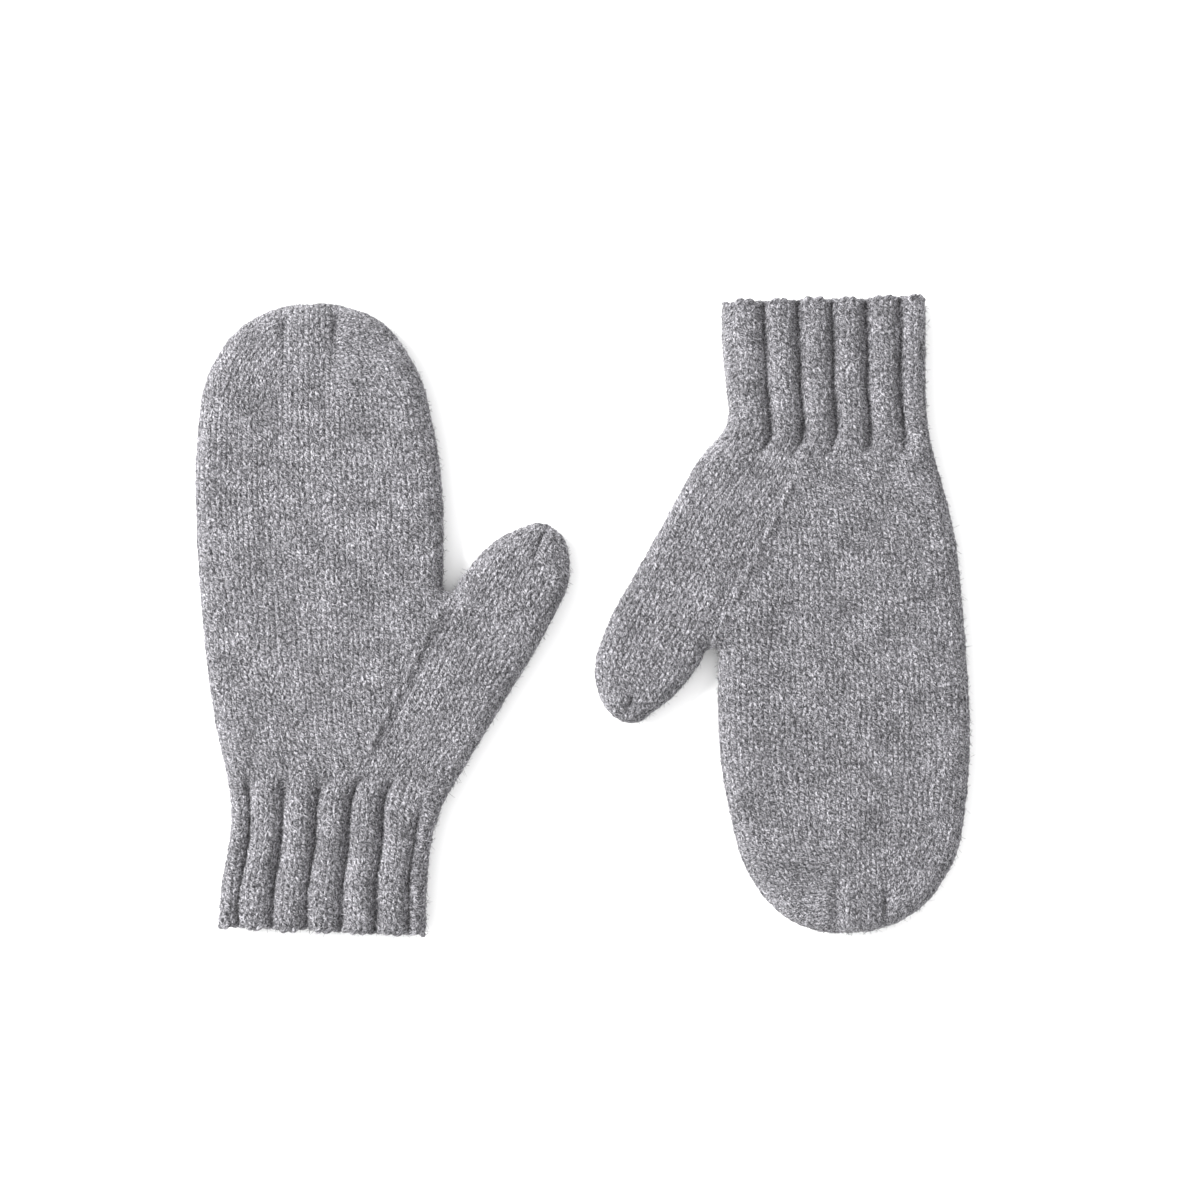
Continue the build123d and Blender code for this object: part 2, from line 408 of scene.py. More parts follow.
def build_strip(curves, places, counts, folds, facing=1, stitches=None):
    """A strip from row curves, and for each row the way its stitches are placed along it."""
    last = int(np.ceil(max(counts)))
    wales = np.linspace(0, last, last * FINE + 1)
    grid = []
    for curve, place in zip(curves, places):
        reached = travel(curve)
        at = place(wales, reached[-1])
        onward = (curve[-1] - curve[-4]) / np.linalg.norm(curve[-1] - curve[-4])
        past = np.maximum(at - reached[-1], 0)[:, None]
        grid.append(look_up(at, reached, curve) + past * onward)
    return Strip(np.array(grid), wales, counts, folds, facing, stitches)


def by_shares(numbers, shares):
    """Stitches placed by straight lines between known stitch numbers and shares of the row."""
    return lambda wales, length: np.interp(wales, numbers, np.array(shares) * length)


def by_width(width):
    """Stitches of one width, which may run past the end of the row."""
    return lambda wales, length: wales * width


def even_levels(count):
    return (np.arange(count) + 0.5) / count


def rib_relief(wales, offset):
    """How far the cuff stands out: purl columns are sunk, and the ribs between are rounded."""
    nearest = (wales - offset - 0.5 + RIB_WALES / 2) % RIB_WALES - RIB_WALES / 2
    reach, least = FOLD_CALM
    beside_fold = np.clip(np.minimum(wales, ROUND_WALES - wales) / reach, least, 1)
    valley = PURL_SINK * np.exp(-((nearest / PURL_SPREAD) ** 2))
    valley += GAP_SINK * np.exp(-((nearest / GAP_SPREAD) ** 2))
    return RIB_STAND - valley * beside_fold


def cuff_strip(mitten, offset, wrist_share):
    """The ribbed cuff, from the mouth to the wrist. Its ribs run straight, while the last
    stitches by the thumb fill the flare, and near the wrist they come to the hand's spacing."""
    left, right = mitten.fold[[0, -1], 1] + MOUTH_INSET
    rows = int(round(-(left + right) / 2 / ROW_HEIGHT))
    widths = np.where(np.arange(ROUND_WALES) % RIB_WALES == offset, PURL_WIDTH, 1.0)
    widths[-1] = FOLD_WIDTH
    ribbed = np.concatenate([[0], np.cumsum(widths)]) / widths.sum()
    numbers = np.arange(ROUND_WALES + 1)
    wrist = travel(mitten.row_curve(mitten.edge("outer", 0), mitten.edge("thumb_outer", 0)))[-1]
    kept = wrist_share + (LAST_STRAIGHT - HAND_START) * STRAIGHT_WIDTH / wrist
    limits = (0, HAND_START, LAST_STRAIGHT, ROUND_WALES)
    plain = np.interp(numbers, limits, (0, wrist_share, kept, 1))
    corner = mitten.fold[-1]
    upright = 2 * (mitten.edge("thumb_outer", right / 2) - corner)
    known = ribbed[[0, LAST_STRAIGHT, -1]]
    quick, lag, beat, slow = SWAY_WAVES
    curves, places = [], []
    for share in even_levels(rows):
        relax = np.clip(share * RIB_RELAX - (RIB_RELAX - 1), 0, 1)
        sway = np.sin(numbers * quick + share * lag) * np.sin(share * beat + numbers / slow)
        begin = mitten.edge("outer", left * (1 - share))
        stop = mitten.edge("thumb_outer", right * (1 - share))
        straight = corner + share * upright
        reach = min((straight[0] - begin[0]) / (stop[0] - begin[0]), 1)
        level = np.interp(ribbed, known, known * (1, reach, 1))
        curves.append(mitten.row_curve(begin, stop))
        spaced = level * (1 - relax) + plain * relax
        places.append(by_shares(numbers, spaced + RIB_SWAY * sway))
    strip = build_strip(curves, places, [ROUND_WALES] * rows, (True, True))
    early = EARLY_END * np.clip(strip.wales - LAST_STRAIGHT, 0, 1)
    fade = np.clip((rows - early - np.arange(rows)[:, None]) / RIB_FADE, 0, 1)
    relief = fade * rib_relief(strip.wales, offset)
    grid = strip.grid + strip.outward * relief[..., None]
    return Strip(grid, strip.wales, strip.counts, strip.folds)


def hand_strip(mitten, last_width):
    """Palm or back below the crotch. Its rows gain stitches along the gusset line."""
    shares = even_levels(int(round(mitten.crotch[1] / ROW_HEIGHT)))
    curves, places, counts = [], [], []
    for share in shares:
        y = share * mitten.crotch[1]
        outer = mitten.edge("outer", y)
        span = travel(mitten.row_curve(outer, mitten.gusset_point(share)))[-1]
        if not counts:
            first_width = span / (HAND_START + (ROUND_WALES - HAND_START) * share)
        width = first_width * (1 - share) + last_width * share
        curves.append(mitten.row_curve(outer, mitten.edge("thumb_outer", y)))
        places.append(by_width(width))
        counts.append(span / width)
    return build_strip(curves, places, counts, (True, False))


def fingers_strip(mitten, line_wales):
    """The tube round the fingers, from the crotch to the crown, and its rows' levels."""
    low, high = mitten.crotch[1], mitten.crown_start
    rows = int(round((high - low) / ROW_HEIGHT))
    numbers = (0, *line_wales, ROUND_WALES)
    curves, places = [], []
    levels = low + even_levels(rows) * (high - low)
    for share, y in zip(even_levels(rows), levels):
        curve = mitten.level_row(y)
        reached = travel(curve)
        lines = np.interp(mitten.crown_lines, curve[:, 0], reached) / reached[-1]
        even = np.array(line_wales) / ROUND_WALES
        nearer = even + (lines - even) * share ** 2
        curves.append(curve)
        places.append(by_shares(numbers, (0, *nearer, 1)))
    return build_strip(curves, places, [ROUND_WALES] * rows, (True, True)), levels


def crown_levels(mitten, x):
    """Plan and space distances up a decrease line, to where it meets the top fold."""
    high = mitten.fold[:, 1] >= mitten.crown_start + CROWN_RISE
    top = int(np.where(high, abs(mitten.fold[:, 0] - x), np.inf).argmin())
    y = np.linspace(mitten.crown_start, mitten.fold[top, 1], LINE_POINTS)
    plan = np.column_stack([np.full_like(y, x), y])
    space = travel(np.column_stack([plan, mitten.height(plan)]))
    return y, space, mitten.reached[top]


def crown_strips(mitten, line_wales):
    """The panel between the decrease lines, with the graft on the fold as its last row, and
    the side outside each line."""
    lines = [crown_levels(mitten, x) for x in mitten.crown_lines]
    rows = int(round(sum(space[-1] for y, space, top in lines) / 2 / ROW_HEIGHT))
    ends = []
    for x, (y, space, top) in zip(mitten.crown_lines, lines):
        heights = np.interp(even_levels(rows) * space[-1], space, y)
        ends.append(np.column_stack([np.full(rows, x), heights]))
    tops = [mitten.fold_at(top) for y, space, top in lines]
    crest = mitten.fold_at(np.linspace(lines[0][2], lines[1][2], PANEL_POINTS))
    bulge = crest - np.linspace(*tops, PANEL_POINTS)
    panel = [mitten.surface(np.linspace(first, second, PANEL_POINTS) + share ** 2 * bulge)
             for first, second, share in zip(*ends, even_levels(rows))]
    panel.append(mitten.surface(crest))
    strips = [build_strip(panel, [by_shares((0, PANEL_WALES), (0, 1))] * (rows + 1),
                          [PANEL_WALES] * (rows + 1), (False, False))]
    counts = (line_wales[0], ROUND_WALES - line_wales[1])
    for part, line, (y, space, top), first, facing in zip(
        ("outer", "inner"), ends, lines, counts, (1, -1)
    ):
        low = mitten.at_height(part, mitten.crown_start)
        curves = [mitten.row_curve(mitten.fold_at(low + (top - low) * share), end)
                  for share, end in zip(even_levels(rows), line)]
        spans = [travel(curve)[-1] for curve in curves]
        width = spans[0] / first
        strips.append(build_strip(curves, [by_width(width)] * rows,
                                  [span / width for span in spans], (True, False), facing))
    return strips


def thumb_strips(mitten):
    """The gusset, whose rows fan out from the gusset line, the free thumb, and how far each
    of the thumb's rows is past its root."""
    tilt = np.arctan2(*mitten.thumb_along) * ROOT_LEAN
    part = mitten.parts["thumb_outer"]
    above = (mitten.fold[part] - mitten.crotch) @ np.array([np.sin(tilt), np.cos(tilt)])
    root = np.interp(0, above[::-1], mitten.reached[part][::-1])
    wrist = mitten.at_height("thumb_outer", 0)
    rows = int(round(mitten.crotch[1] / ROW_HEIGHT))
    kept = LAST_STRAIGHT - HAND_START
    curves, places = [], []
    for share in even_levels(rows):
        begin = mitten.gusset_point(share) - (SEAM_OVERLAP, 0)
        curve = mitten.row_curve(begin, mitten.fold_at(wrist + (root - wrist) * share))
        narrow = kept * STRAIGHT_WIDTH / travel(curve)[-1]
        level = narrow + (kept / GUSSET_WALES - narrow) * min(share / GUSSET_RELAX, 1)
        curves.append(curve)
        places.append(by_shares((0, kept, GUSSET_WALES), (0, level, 1)))
    gusset = build_strip(curves, places, [GUSSET_WALES] * rows, (False, True))
    crotch = mitten.reached[mitten.parts["thumb_inner"].start]
    tip = mitten.reached[part.start]
    rows = int(round((root - crotch) / 2 / ROW_HEIGHT / THUMB_STRETCH))
    curves = [mitten.row_curve(mitten.fold_at(crotch + (tip - crotch) * share),
                               mitten.fold_at(root + (tip - root) * share))
              for share in even_levels(rows)]
    places = [by_shares((0, GUSSET_WALES), (0, 1))] * rows
    stitches = [min(GUSSET_WALES, max(int(round(travel(curve)[-1] / TIP_STITCH)), 1))
                for curve in curves]
    thumb = build_strip(curves, places, [GUSSET_WALES] * rows, (True, True), stitches=stitches)
    centres = np.array([curve[:, :2].mean(axis=0) for curve in curves])
    return gusset, thumb, (centres - mitten.thumb_root) @ mitten.thumb_along


# ---------------------------------------------------------------- yarn, web and fibres


def drift(random, count, spacing, spread):
    """Noise that wanders over a number of samples."""
    knots = random.normal(0, spread, int(count / spacing) + 3)
    return np.interp(np.arange(count) / spacing, np.arange(len(knots)), knots)


def unit(vectors):
    return vectors / np.maximum(np.linalg.norm(vectors, axis=-1, keepdims=True), 1e-9)


class Knit:
    """Collects the yarn, the felted web and the loose fibres of one piece."""

    def __init__(self, name, seed):
        self.name = name
        self.random = np.random.default_rng(seed)
        self.places, self.strands, self.tones = [], [], []
        self.blocks, self.seats = [], []
        self.fibres = None
        self.total = 0

    def add_block(self, points, strand, tone, closed=False):
        """A grid of points, wrapped round and capped if closed. Returns its point numbers."""
        long, wide = points.shape[:2]
        index = self.total + np.arange(long * wide).reshape(long, wide)
        self.total += long * wide
        caps = [index[0, ::-1], index[-1]] if closed else []
        if closed:
            index = np.concatenate([index, index[:, :1]], axis=1)
        quads = [index[:-1, :-1], index[:-1, 1:], index[1:, 1:], index[1:, :-1]]
        cells = np.stack(np.mgrid[0:index.shape[0] - 1, 0:index.shape[1] - 1], axis=-1)
        self.places.append(points.reshape(-1, 3))
        self.strands.append(np.broadcast_to(strand, points.shape).reshape(-1, 3))
        self.tones.append(np.full(long * wide, tone))
        self.blocks.append({
            "quads": np.stack(quads, axis=-1).reshape(-1, 4),
            "uv": (cells[:, :, None] + CORNERS).reshape(-1, 4, 2),
            "size": (index.shape[0] - 1, index.shape[1] - 1),
            "caps": caps,
        })
        return index

    def add_tube(self, centre, outward, radius, tone=1.0):
        """A closed tube along a line of points."""
        along = unit(np.gradient(centre, axis=0))
        side = unit(np.cross(along, outward))
        above = np.cross(side, along)
        angle = np.linspace(0, 2 * np.pi, SIDES, endpoint=False)
        ring = np.cos(angle)[:, None] * above[:, None] + np.sin(angle)[:, None] * side[:, None]
        reached = travel(centre)[:, None]
        turned = angle + reached * YARN_TWIST
        start = self.random.uniform(0, STRAND_LENGTH)
        strand = np.stack([reached + start + 0 * turned, YARN_RADIUS * np.cos(turned),
                           YARN_RADIUS * np.sin(turned)], axis=-1)
        self.add_block(centre[:, None] + ring * radius[:, None, None], strand, tone, True)
        self.seats.append((centre, above, side, radius))

    def add_row(self, half, wales, edges, faces):
        """One yarn through a row of stitches. edges are the stitches' limits in stitch
        numbers, and faces are 1 for a knit stitch and -1 for a purl."""
        middle, upward, outward = half
        turn = np.linspace(0, 2 * np.pi, STEPS, endpoint=False)
        shift = turn / (2 * np.pi) + LOOP_SWING * np.sin(2 * turn)
        at = np.append((edges[:-1, None] + np.diff(edges)[:, None] * shift).ravel(), edges[-1])
        turn = np.append(np.tile(turn, len(edges) - 1), 0)
        faces = np.append(np.repeat(faces, STEPS), faces[-1])
        faces = np.convolve(np.pad(faces, 2, mode="edge"), np.ones(5) / 5, mode="valid")
        count = len(at)
        free = np.clip(np.minimum(at - edges[0], edges[-1] - at), 0, 1)
        at = at + drift(self.random, count, STEPS / 2, LOOP_WANDER) * free
        rise = drift(self.random, count, STEPS / 2, LOOP_WANDER) - LOOP_HEIGHT / 2 * np.cos(turn)
        depth = drift(self.random, count, STEPS / 2, DEPTH_WANDER)
        depth = depth - LOOP_DEPTH * np.cos(2 * turn) * faces
        normal = unit(look_up(at, wales, outward))
        centre = look_up(at, wales, middle) + look_up(at, wales, upward) * rise[:, None]
        centre = centre + normal * depth[:, None]
        radius = YARN_RADIUS * (1 + drift(self.random, count, 3 * STEPS, YARN_WANDER))
        self.add_tube(centre, normal, radius)

    def add_web(self, lines, normals, flip):
        """The felted fibres that close the gaps between the loops: a thin closed sheet, coloured
        a little darker than the yarn as painted shade in the gaps.
        """
        outer, inner = lines + normals * WEB_OUTER, lines + normals * WEB_INNER
        if flip:
            outer, inner = outer[:, ::-1], inner[:, ::-1]
        strand = outer[..., [1, 0, 2]] + self.random.uniform(0, STRAND_LENGTH)
        # both sides of the web take the darker tone, painted shade between the loops
        first = self.add_block(outer, strand, WEB_PAINTED_SHADE)
        second = self.add_block(inner[:, ::-1], strand[:, ::-1] + WEB_SHIFT, WEB_PAINTED_SHADE)[:, ::-1]

        def rim(index):
            return np.concatenate([index[0], index[1:, -1], index[-1, -2::-1], index[-2::-1, 0]])

        a, b = rim(first), rim(second)
        quads = np.stack([a[:-1], b[:-1], b[1:], a[1:]], axis=-1)
        flat = np.zeros((len(quads), 4, 2))
        self.blocks.append({"quads": quads, "uv": flat, "size": (1, 1), "caps": []})

    def add_fibres(self):
        """Felted fibres: most of them lie on the yarn, and a few stand off it."""
        centre, above, side, radius = [np.concatenate(parts) for parts in zip(*self.seats)]
        count = int(len(centre) / STEPS * FIBRES_PER_STITCH)
        pick = self.random.integers(len(centre), size=count)
        centre, above, side, radius = centre[pick], above[pick], side[pick], radius[pick, None]
        turn, around, lift, length, tone = self.random.uniform(size=(5, count, 1))
        turn, around = 2 * np.pi * turn, FIBRE_SPREAD * (2 * around - 1)
        outward = np.cos(around) * above + np.sin(around) * side
        flat = np.cos(turn) * np.cross(above, side) + np.sin(turn) * side
        heading = unit(flat + FIBRE_LIFT * lift ** 4 * above)
        share = np.linspace(0, 1, FIBRE_POINTS)[:, None]
        curl = self.random.normal(0, FIBRE_CURL, (count, 1, 3))
        shortest, more = FIBRE_LENGTHS
        reach = (shortest + more * length[:, None]) * heading[:, None]
        path = (centre + outward * radius)[:, None] + reach * share + curl * share ** 2
        path[..., 2] = np.maximum(path[..., 2], 2 * FIBRE_RADIUS)
        across = unit(np.cross(heading, outward))
        corner = np.linspace(0, 2 * np.pi, FIBRE_SIDES, endpoint=False)[:, None]
        ring = np.cos(corner) * np.cross(across, heading)[:, None]
        ring = ring + np.sin(corner) * across[:, None]
        thick = FIBRE_RADIUS * (1 - 0.5 * share)
        points = path[:, :, None] + ring[:, None] * thick[:, None]
        index = self.total + np.arange(points[..., 0].size).reshape(points.shape[:3])
        self.total += index.size
        start = self.random.uniform(0, STRAND_LENGTH, (count, 1, 1, 1))
        dark, light = [least + more * tone for least, more in FIBRE_TONES]
        tone = np.where(tone < 0.5, dark, light)
        self.places.append(points.reshape(-1, 3))
        self.strands.append((start + 0 * points).reshape(-1, 3))
        self.tones.append(np.repeat(tone[:, 0], FIBRE_POINTS * FIBRE_SIDES))
        caps = np.concatenate([index[:, 0, ::-1], index[:, -1]])
        index = np.concatenate([index, index[:, :, :1]], axis=2)
        quads = [index[:, :-1, :-1], index[:, :-1, 1:], index[:, 1:, 1:], index[:, 1:, :-1]]
        cells = np.stack(np.mgrid[0:FIBRE_POINTS - 1, 0:FIBRE_SIDES], axis=-1)
        uv = np.broadcast_to(cells[:, :, None] + CORNERS, (count, *cells.shape[:2], 4, 2))
        quads = np.stack(quads, axis=-1).reshape(-1, 4)
        self.fibres = {"quads": quads, "uv": uv, "caps": caps}

    def lay_out(self):
        """Corners and sizes of all faces, and their places in the OFBake map, which lays the
        blocks side by side in columns. The fibres share the last column."""
        sizes = [block["size"] for block in self.blocks]
        width = sum(size[1] + 1 for size in sizes) + FIBRE_POINTS + 1
        height = max(size[0] for size in sizes) + 1
        corners, totals, uvs = [], [], []
        shelf = 0.5
        for block in self.blocks:
            origin = np.array([0.5, shelf])
            shelf += block["size"][1] + 1
            corners.append(block["quads"].ravel())
            totals.append(np.full(len(block["quads"]), 4))
            uvs.append((block["uv"] + origin).reshape(-1, 2))
            for cap in block["caps"]:
                corners.append(cap)
                totals.append([len(cap)])
                uvs.append(np.tile(origin, (len(cap), 1)))
        quads, caps, uv = [self.fibres[name] for name in ("quads", "caps", "uv")]
        lane = np.arange(len(uv)) * FIBRE_POINTS % (height - FIBRE_POINTS) + 0.5
        origin = np.column_stack([lane, np.full(len(lane), shelf)])
        corners += [quads.ravel(), caps.ravel()]
        totals += [np.full(len(quads), 4), np.full(len(caps), 3)]
        uvs.append((uv + origin[:, None, None, None]).reshape(-1, 2))
        uvs.append(np.tile([0.5, shelf], (caps.size, 1)))
        uvs = np.concatenate(uvs)[:, ::-1] / (width, height)
        return np.concatenate(corners), np.concatenate(totals), uvs

    def finish(self, place, material):
        """The mesh object of everything collected, which rests on the table."""
        corners, totals, uvs = self.lay_out()
        mesh = bpy.data.meshes.new(self.name + "_knit")
        mesh.vertices.add(self.total)
        places = np.concatenate(self.places)
        places[:, 2] = np.maximum(places[:, 2], 0)
        mesh.vertices.foreach_set("co", place(places).astype(np.float32).ravel())
        mesh.loops.add(len(corners))
        mesh.loops.foreach_set("vertex_index", corners.astype(np.int32))
        mesh.polygons.add(len(totals))
        mesh.polygons.foreach_set("loop_start", (np.cumsum(totals) - totals).astype(np.int32))
        mesh.polygons.foreach_set("loop_total", totals.astype(np.int32))
        mesh.polygons.foreach_set("use_smooth", totals == 4)
        mesh.update(calc_edges=True)
        strand = mesh.attributes.new("strand", "FLOAT_VECTOR", "POINT")
        strand.data.foreach_set("vector", np.concatenate(self.strands).astype(np.float32).ravel())
        tone = mesh.attributes.new("tone", "FLOAT", "POINT")
        tone.data.foreach_set("value", np.concatenate(self.tones).astype(np.float32))
        layer = mesh.uv_layers.new(name="OFBake")
        layer.data.foreach_set("uv", uvs.astype(np.float32).ravel())
        mesh.materials.append(material)
        piece = bpy.data.objects.new(mesh.name, mesh)
        bpy.context.scene.collection.objects.link(piece)
        return piece


def whole_stitches(count):
    """Limits of the stitches in a row: whole ones, and a part stitch at the end."""
    edges = np.arange(int(count + 1e-6) + 1.0)
    if count - edges[-1] > SMALLEST_STITCH or len(edges) == 1:
        return np.append(edges, count)
    edges[-1] = count
    return edges


def knit_rows(knit, strip, rows, under, purl=None):
    """Some rows of a strip on one face, and the web that fills them. purl is the number of
    the first purl stitch, where there are any."""
    rows = list(rows)
    for row in rows:
        if strip.stitches:
            edges = np.linspace(0, strip.counts[row], strip.stitches[row] + 1)
        else:
            edges = whole_stitches(strip.counts[row])
        faces = np.ones(len(edges) - 1)
        if purl is not None:
            faces[purl::RIB_WALES] = -1
        knit.add_row(strip.half(row, under), strip.wales, edges, faces)
    share = np.linspace(0, 1, 2 * int(np.ceil(strip.counts[rows].max())) + 1)
    lines, normals = [], []
    for row in rows:
        middle, upward, outward = strip.half(row, under)
        at = share * strip.counts[row]
        for shift in (-0.5, 0.5) if row in (rows[0], rows[-1]) else (0,):
            lines.append(look_up(at, strip.wales, middle + shift * upward))
            normals.append(look_up(at, strip.wales, outward))
    knit.add_web(np.array(lines), unit(np.array(normals)), under != (strip.facing < 0))


def cast_on(knit, strip, under, offset):
    """The twisted edge that the first row hangs from."""
    middle, upward, outward = strip.half(0, under)
    at = np.linspace(0, ROUND_WALES, ROUND_WALES * STEPS + 1)
    turn = 2 * np.pi * at
    normal = unit(look_up(at, strip.wales, outward))
    scallop = SCALLOP * np.cos((at - offset - 0.5) * 2 * np.pi / RIB_WALES)
    rise_wander, radius_wander = EDGE_WANDER
    rise = scallop - EDGE_DROP - EDGE_WAVE * np.cos(turn)
    rise = rise + drift(knit.random, len(at), 2 * STEPS, rise_wander)
    centre = look_up(at, strip.wales, middle) + look_up(at, strip.wales, upward) * rise[:, None]
    centre = centre + normal * (EDGE_TWIST * np.sin(turn))[:, None]
    swell = 1 + drift(knit.random, len(at), STEPS, radius_wander)
    knit.add_tube(centre, normal, YARN_RADIUS * EDGE_THICKNESS * swell)


def add_increases(knit, mitten, strip, under):
    """The lifted strands along the gusset line, one wherever the hand gains a stitch, except
    beside the ribs."""
    gains = np.nonzero(np.diff(np.floor(strip.counts)) > 0)[0][1:]
    arch = np.sin(np.linspace(0, np.pi, LIFTED_POINTS))
    along = np.linspace(-LIFTED_HALF, LIFTED_HALF, LIFTED_POINTS)
    (low, lift), (thin, swell) = LIFTED_RISE, LIFTED_THICKNESS
    for row in gains:
        place = mitten.gusset_point((row + 1) / len(strip.counts))
        plan = place + along[:, None] * LIFTED_HEADING
        centre = np.column_stack([plan, MID + mitten.height(plan) + low + lift * arch])
        normal = np.tile((0.0, 0.0, 1.0), (LIFTED_POINTS, 1))
        if under:
            centre, normal = flipped(centre), -normal
            centre[:, 2] = np.maximum(centre[:, 2], YARN_RADIUS * LIFTED_CLEARANCE)
        # the strand's lighter tone is a painted highlight
        knit.add_tube(centre, normal, YARN_RADIUS * (thin + swell * arch), LIFTED_PAINTED_HIGHLIGHT)


# ---------------------------------------------------------------- one mitten


def blend(piece, mitten, start, along):
    """The piece's placement is applied to its mesh. The ends worked out from start and along are
    not used.
    """
    ends = mitten.to_world(np.array([[*start, MID], [*(start + along), MID]]))
    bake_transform(piece)


def build_mitten(side, seed, material):
    mitten = Mitten(side)
    made = {}

    def piece(part):
        if part not in made:
            made[part] = Knit(f"{side}_{part}", seed + len(made))
        return made[part]

    wrist = mitten.row_curve(mitten.edge("outer", 0), mitten.edge("thumb_outer", 0))
    reached = travel(wrist)
    wrist_share = np.interp(mitten.gusset_foot[0], wrist[:, 0], reached) / reached[-1]
    above_crotch = travel(mitten.level_row(mitten.crotch[1] + 1))[-1]
    crown = mitten.level_row(mitten.crown_start)
    reached = travel(crown)
    first = np.interp(mitten.crown_lines[0], crown[:, 0], reached) / reached[-1] * ROUND_WALES
    line_wales = (round(first), round(first) + PANEL_WALES)

    hand = hand_strip(mitten, above_crotch / ROUND_WALES)
    fingers, levels = fingers_strip(mitten, line_wales)
    panel, outer_side, thumb_side = crown_strips(mitten, line_wales)
    gusset, thumb, forward = thumb_strips(mitten)
    knuckle_row = int((levels < mitten.knuckles).sum())
    thumb_rows = np.arange(len(thumb.grid))
    closing = len(thumb_rows) - THUMB_CLOSING_ROWS
    free = (forward >= 0) & (forward < TIP_START)
    tapered = (forward >= TIP_START) & (thumb_rows < closing)
    graft = len(panel.grid) - CROWN_CLOSING_ROWS
    for under in (False, True):
        face = "under" if under else "top"
        offset = RIB_WALES - 1 - RIB_OFFSET[side] if under else RIB_OFFSET[side]
        cuff = cuff_strip(mitten, offset, wrist_share)
        cast_on(piece("cast_on_edge"), cuff, under, offset)
        knit_rows(piece("cast_on_edge"), cuff, range(EDGE_ROWS), under, offset)
        knit_rows(piece("ribbed_cuff"), cuff, range(EDGE_ROWS, len(cuff.grid)), under, offset)
        knit_rows(piece("hand_" + face), hand, range(len(hand.grid)), under)
        add_increases(piece("hand_" + face), mitten, hand, under)
        knit_rows(piece("hand_" + face), fingers, range(knuckle_row), under)
        knit_rows(piece("fingers_" + face), fingers, range(knuckle_row, len(fingers.grid)), under)
        knit_rows(piece("gusset_" + face), gusset, range(len(gusset.grid)), under)
        knit_rows(piece("gusset_" + face), thumb, thumb_rows[forward < 0], under)
        knit_rows(piece("thumb_" + face), thumb, thumb_rows[free], under)
        knit_rows(piece("thumb_tip_" + face), thumb, thumb_rows[tapered], under)
        knit_rows(piece("thumb_closing"), thumb, thumb_rows[closing:], under)
        knit_rows(piece("crown_outer_side"), outer_side, range(len(outer_side.grid)), under)
        knit_rows(piece("crown_thumb_side"), thumb_side, range(len(thumb_side.grid)), under)
        knit_rows(piece("crown_panel_" + face), panel, range(graft), under)
        knit_rows(piece("crown_closing"), panel, range(graft, len(panel.grid) - under), under)
    for part, knit in made.items():
        knit.add_fibres()
        mesh = knit.finish(mitten.to_world, material)
        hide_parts(knit.name)
        if part.startswith(("hand", "gusset")):
            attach(mesh, side + "_hand")
        elif part in ("cast_on_edge", "ribbed_cuff"):
            blend(mesh, mitten, np.zeros(2), np.array([0, -WRIST_BEND]))
        elif part.startswith("thumb"):
            blend(mesh, mitten, mitten.thumb_root, mitten.thumb_along * THUMB_BEND)
        else:
            start = np.array([0, mitten.knuckles])
            blend(mesh, mitten, start, np.array([0, KNUCKLE_BEND]))


# ---------------------------------------------------------------- materials


def add_node(tree, kind, settings=None, **inputs):
    """The outputs of a new shader node, whose inputs are set or linked. An input is given by
    its name, with _ for a space, or as _ and its number."""
    made = tree.nodes.new("ShaderNode" + kind)
    for name, value in (settings or {}).items():
        setattr(made, name, value)
    for name, value in inputs.items():
        numbered = name[0] == "_"
        socket = made.inputs[int(name[1:]) if numbered else name.replace("_", " ")]
        if isinstance(value, bpy.types.NodeSocket):
            tree.links.new(value, socket)
        else:
            socket.default_value = value
    return made.outputs


def new_material(name):
    material = bpy.data.materials.new(name)
    material.use_nodes = True
    material.node_tree.nodes.clear()
    return material, material.node_tree


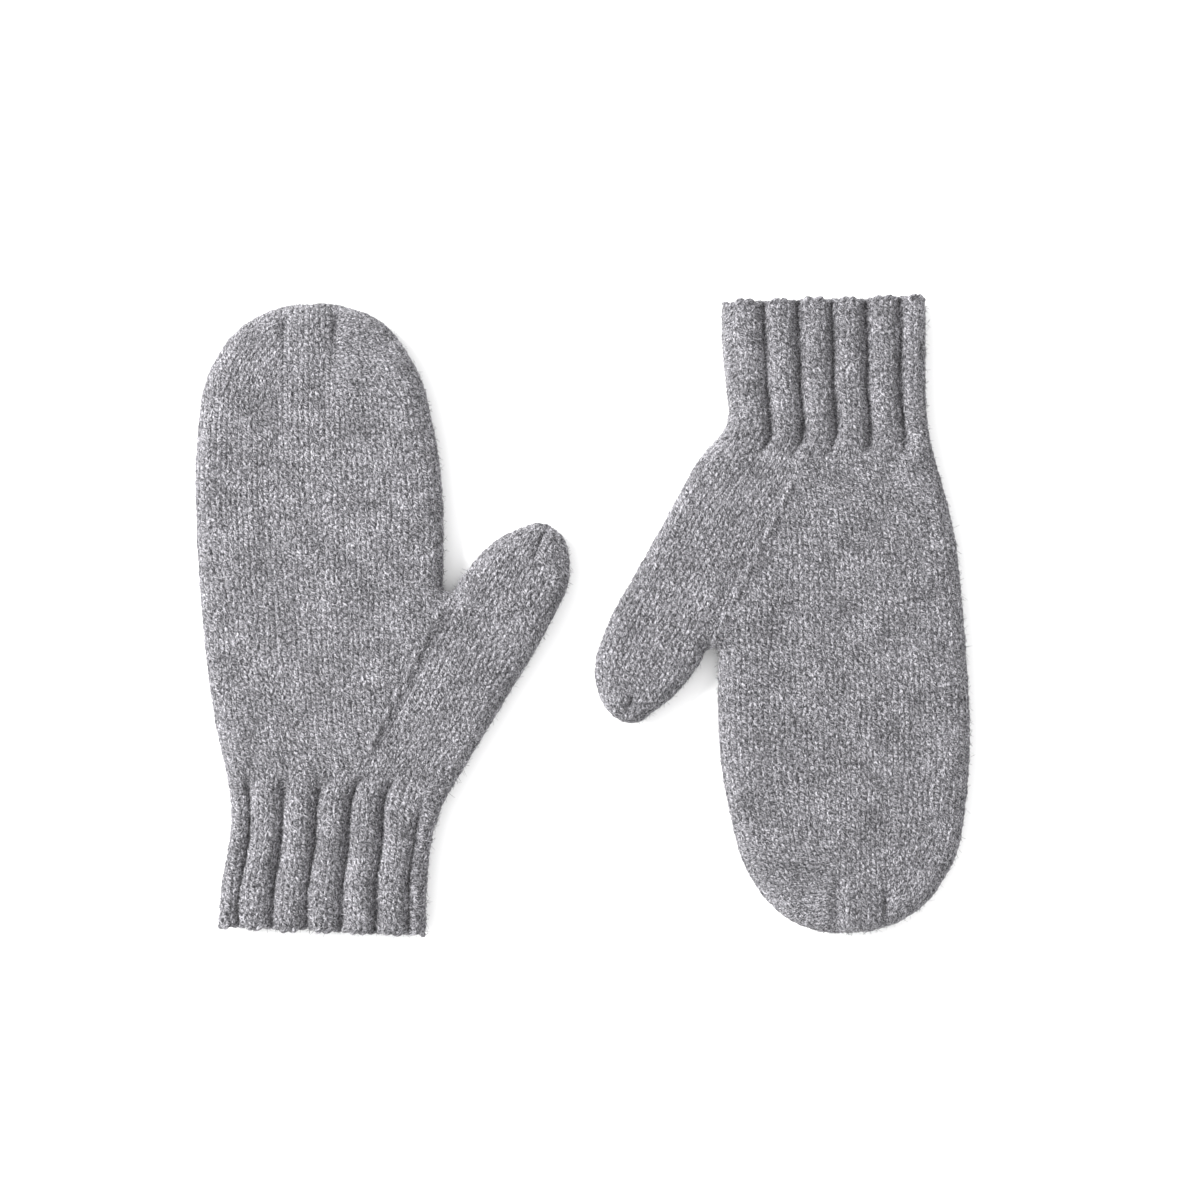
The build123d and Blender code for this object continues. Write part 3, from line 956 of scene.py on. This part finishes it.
def wool_material():
    """Grey melange wool: light and dark fibres run together along each yarn."""
    material, tree = new_material("grey_melange_wool")
    strand = add_node(tree, "Attribute", {"attribute_name": "strand"})["Vector"]
    # tone holds the fibres' own darker and lighter tones, the web's painted shade and the lifted
    # strands' painted highlight
    tone = add_node(tree, "Attribute", {"attribute_name": "tone"})["Fac"]
    streaked = add_node(tree, "VectorMath", {"operation": "MULTIPLY"}, _0=strand, _1=STREAKS)
    streaks = add_node(tree, "TexNoise", Vector=streaked[0], Scale=1.0, Detail=2.0, Roughness=0.7)
    mixed = add_node(tree, "ValToRGB", Fac=streaks["Fac"])["Color"]
    ramp = mixed.node.color_ramp
    ramp.elements.new(WOOL_SHADES[1][0])
    for element, (position, shade) in zip(ramp.elements, WOOL_SHADES):
        element.position = position
        element.color = (*shade, 1)
    place = add_node(tree, "TexCoord")["Object"]
    cloud = add_node(tree, "TexNoise", Vector=place, Scale=70.0, Detail=3.0, Roughness=0.6)
    patchy = add_node(tree, "MapRange", Value=cloud["Fac"], From_Min=0.3, From_Max=0.7,
                      To_Min=1 - WOOL_PATCHES, To_Max=1 + WOOL_PATCHES)
    factor = add_node(tree, "Math", {"operation": "MULTIPLY"}, _0=patchy[0], _1=tone)
    colour = add_node(tree, "VectorMath", {"operation": "SCALE"}, _0=mixed, Scale=factor[0])
    fine = add_node(tree, "VectorMath", {"operation": "MULTIPLY"}, _0=strand, _1=FURROWS)
    furrows = add_node(tree, "TexNoise", Vector=fine[0], Scale=1.0, Detail=1.0)
    bump = add_node(tree, "Bump", Height=furrows["Fac"], Strength=0.5, Distance=0.0003)
    dull = add_node(tree, "MapRange", Value=furrows["Fac"], To_Min=0.8, To_Max=1.0)
    surface = add_node(tree, "BsdfPrincipled", Base_Color=colour[0], Normal=bump[0],
                       Roughness=dull[0], Sheen_Weight=0.25, Sheen_Roughness=0.5,
                       Specular_IOR_Level=0.2)
    add_node(tree, "OutputMaterial", Surface=surface[0])
    return material


def floor_material():
    material, tree = new_material("white_paper")
    surface = add_node(tree, "BsdfPrincipled", Base_Color=PAPER, Roughness=0.9)
    add_node(tree, "OutputMaterial", Surface=surface[0])
    return material


# ---------------------------------------------------------------- stage


def area_light(name, place, size, power):
    data = bpy.data.lights.new(name, "AREA")
    data.shape = "DISK"
    data.size = size
    data.energy = power
    lamp = bpy.data.objects.new(name, data)
    lamp.location = place
    lamp.rotation_euler = (-Vector(place)).to_track_quat("-Z", "Y").to_euler()
    bpy.context.scene.collection.objects.link(lamp)


def add_stage():
    """White paper, a soft key lamp from the left and an even white sky."""
    bpy.ops.mesh.primitive_plane_add(size=FLOOR_SIZE)
    floor = bpy.context.object
    floor.name = "floor"
    floor.data.materials.append(floor_material())
    area_light("key", KEY_PLACE, KEY_SIZE, KEY_POWER)
    world = bpy.data.worlds.new("studio")
    world.use_nodes = True
    sky = world.node_tree.nodes["Background"].inputs
    sky["Color"].default_value = (1, 1, 1, 1)
    sky["Strength"].default_value = SKY_STRENGTH
    bpy.context.scene.world = world


def add_camera():
    """A camera straight above the pair."""
    data = bpy.data.cameras.new("camera")
    data.lens = LENS
    data.sensor_width = SENSOR
    camera = bpy.data.objects.new("camera", data)
    camera.location = (*VIEW_CENTRE, VIEW_WIDTH * LENS / SENSOR + MID * MM)
    bpy.context.scene.collection.objects.link(camera)
    bpy.context.scene.camera = camera
    bpy.context.scene.view_settings.view_transform = "Standard"


wool = wool_material()
build_mitten("left", 100, wool)
build_mitten("right", 200, wool)
add_stage()
add_camera()
